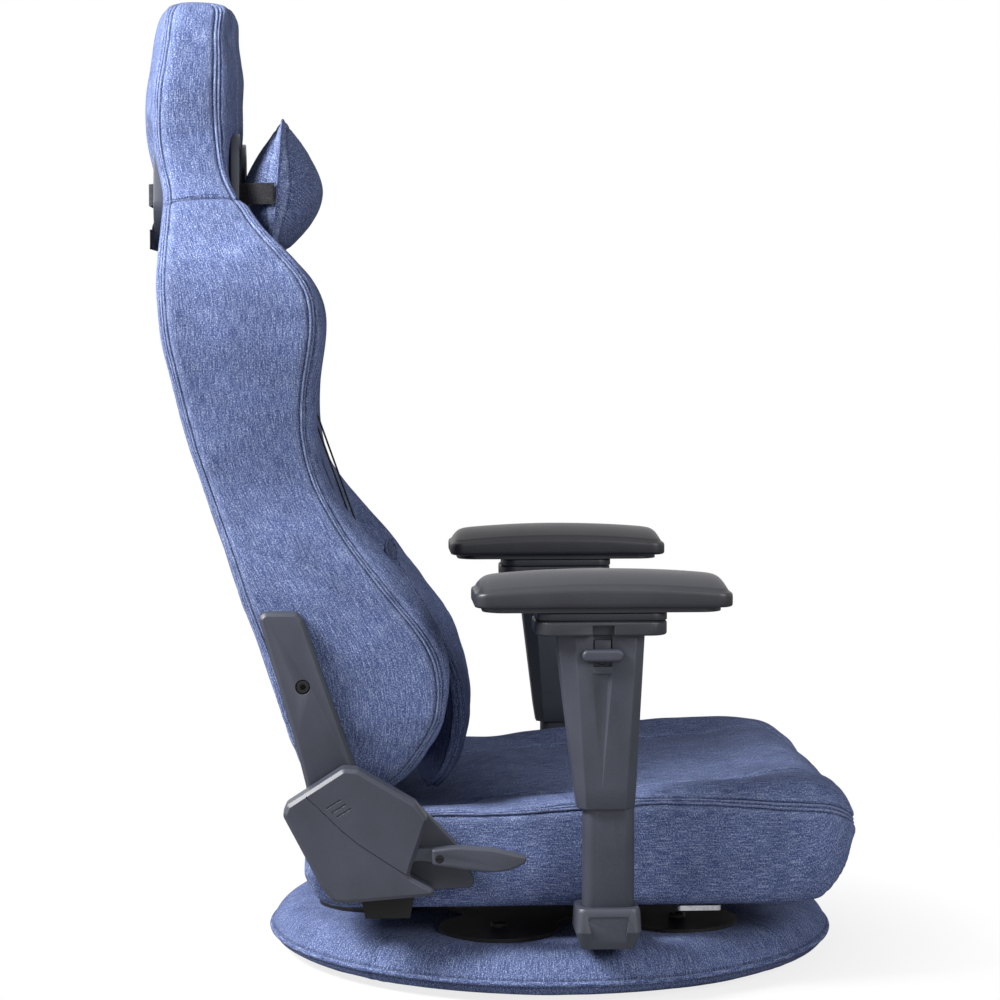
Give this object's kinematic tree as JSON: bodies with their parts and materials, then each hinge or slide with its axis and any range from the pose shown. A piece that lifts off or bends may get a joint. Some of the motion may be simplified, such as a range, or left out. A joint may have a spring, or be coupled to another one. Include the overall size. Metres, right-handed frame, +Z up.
{
  "type": "floor gaming chair",
  "caption": "Legless floor chair: a swivelling padded disc base carries a bolstered seat, a reclining winged backrest, cushions on straps and height-adjustable armrests.",
  "frame": {"origin": "on the swivel axis at the floor", "axes": "+X to the chair's front, +Y to the sitter's left, +Z up"},
  "size_m": [0.7299, 0.67, 1.005],
  "materials": {
    "denim_fabric": "heathered blue woven upholstery over foam",
    "piping_fabric": "corded edge piping in the upholstery's cloth",
    "black_webbing": "woven elastic webbing",
    "rubber_sheet": "matt non-slip underside",
    "board": "raw plywood, hidden",
    "zinc_steel": "zinc plated",
    "race_steel": "ground and greased",
    "pad_foam": "soft integral-skin foam, fine matt grain",
    "pad_plastic": "moulded",
    "charcoal_plastic": "fine spark-eroded grain, satin",
    "black_steel": "black powder coat"
  },
  "bodies": {
    "base": {"non_slip_sheet": "rubber_sheet", "base_board": "board", "base_pad": "denim_fabric", "base_piping": "piping_fabric", "turntable_lower_plate": "black_steel", "turntable_bolts": "black_steel", "bearing_lower_race": "race_steel", "bearing_balls": "zinc_steel", "kingpin": "zinc_steel", "king_nut": "zinc_steel"},
    "seat": {"armrest_bracket_left": "black_steel", "armrest_bracket_right": "black_steel", "bearing_upper_race": "race_steel", "foot_cap_left": "charcoal_plastic", "foot_cap_right": "charcoal_plastic", "frame_tie_plates": "zinc_steel", "inner_cover_left": "charcoal_plastic", "inner_cover_right": "charcoal_plastic", "mast_left": "black_steel", "mast_right": "black_steel", "pivot_bolts": "black_steel", "recliner_plate_left": "black_steel", "recliner_plate_right": "black_steel", "return_spring": "zinc_steel", "seat_cushion": "denim_fabric", "seat_frame": "black_steel", "seat_webbing": "black_webbing", "side_cover_left": "charcoal_plastic", "side_cover_right": "charcoal_plastic", "turntable_upper_plate": "black_steel", "under_frame_arms": "black_steel"},
    "backrest": {"back_cushion": "denim_fabric", "headrest_cushion": "denim_fabric", "back_frame": "black_steel", "belt_bezels": "charcoal_plastic", "lumbar_straps": "black_webbing", "arm_bolts": "black_steel", "recline_arm_right": "black_steel", "recline_arm_left": "black_steel", "arm_cover_right": "charcoal_plastic", "arm_cover_left": "charcoal_plastic"},
    "lever": {"recline_lever": "charcoal_plastic", "lever_screw": "black_steel", "recline_pawl": "black_steel"},
    "pillow": {"head_pillow": "denim_fabric", "pillow_strap": "black_webbing"},
    "lumbar": {"lumbar_cushion": "denim_fabric"},
    "armrest_right": {"armrest_sleeve_right": "charcoal_plastic", "armrest_head_right": "charcoal_plastic"},
    "paddle_right": {"release_paddle_right": "charcoal_plastic"},
    "rotor_right": {"rotor_plate_right": "charcoal_plastic"},
    "pad_right": {"pad_base_right": "pad_plastic", "armrest_pad_right": "pad_foam"},
    "armrest_left": {"armrest_sleeve_left": "charcoal_plastic", "armrest_head_left": "charcoal_plastic"},
    "paddle_left": {"release_paddle_left": "charcoal_plastic"},
    "rotor_left": {"rotor_plate_left": "charcoal_plastic"},
    "pad_left": {"pad_base_left": "pad_plastic", "armrest_pad_left": "pad_foam"}
  },
  "joints": [
    {"name": "seat_swivel", "type": "hinge", "parent": "base", "child": "seat", "pos_m": [0, 0, 0.05], "axis": [0, 0, 1], "continuous": true},
    {"name": "backrest_recline", "type": "hinge", "parent": "seat", "child": "backrest", "pos_m": [-0.216, 0, 0.165], "axis": [0, 1, 0], "range_deg": [-75, 8]},
    {"name": "recline_lever_lift", "type": "hinge", "parent": "seat", "child": "lever", "pos_m": [-0.172, -0.272, 0.15], "axis": [0, -1, 0], "range_deg": [0, 25], "stiffness_Nm_per_rad": 1.2, "springref_deg": -11.46},
    {"name": "head_pillow_height", "type": "slide", "parent": "backrest", "child": "pillow", "axis": [0, 0, 1], "range_m": [-0.012, 0.012]},
    {"name": "lumbar_height", "type": "slide", "parent": "backrest", "child": "lumbar", "axis": [0, 0, 1], "range_m": [0, 0.04]},
    {"name": "armrest_height_right", "type": "slide", "parent": "seat", "child": "armrest_right", "axis": [0, 0, 1], "range_m": [0, 0.07]},
    {"name": "release_paddle_right", "type": "slide", "parent": "armrest_right", "child": "paddle_right", "axis": [0, 0, 1], "range_m": [0, 0.004], "stiffness_N_per_m": 400, "springref_m": -0.002},
    {"name": "armrest_turn_right", "type": "hinge", "parent": "armrest_right", "child": "rotor_right", "pos_m": [0.028, -0.288, 0.38], "axis": [0, 0, 1], "range_deg": [-30, 30]},
    {"name": "pad_slide_right", "type": "slide", "parent": "rotor_right", "child": "pad_right", "axis": [1, 0, 0], "range_m": [-0.03, 0.03]},
    {"name": "armrest_height_left", "type": "slide", "parent": "seat", "child": "armrest_left", "axis": [0, 0, 1], "range_m": [0, 0.07]},
    {"name": "release_paddle_left", "type": "slide", "parent": "armrest_left", "child": "paddle_left", "axis": [0, 0, 1], "range_m": [0, 0.004], "stiffness_N_per_m": 400, "springref_m": -0.002},
    {"name": "armrest_turn_left", "type": "hinge", "parent": "armrest_left", "child": "rotor_left", "pos_m": [0.028, 0.288, 0.38], "axis": [0, 0, 1], "range_deg": [-30, 30]},
    {"name": "pad_slide_left", "type": "slide", "parent": "rotor_left", "child": "pad_left", "axis": [1, 0, 0], "range_m": [-0.03, 0.03]}
  ]
}
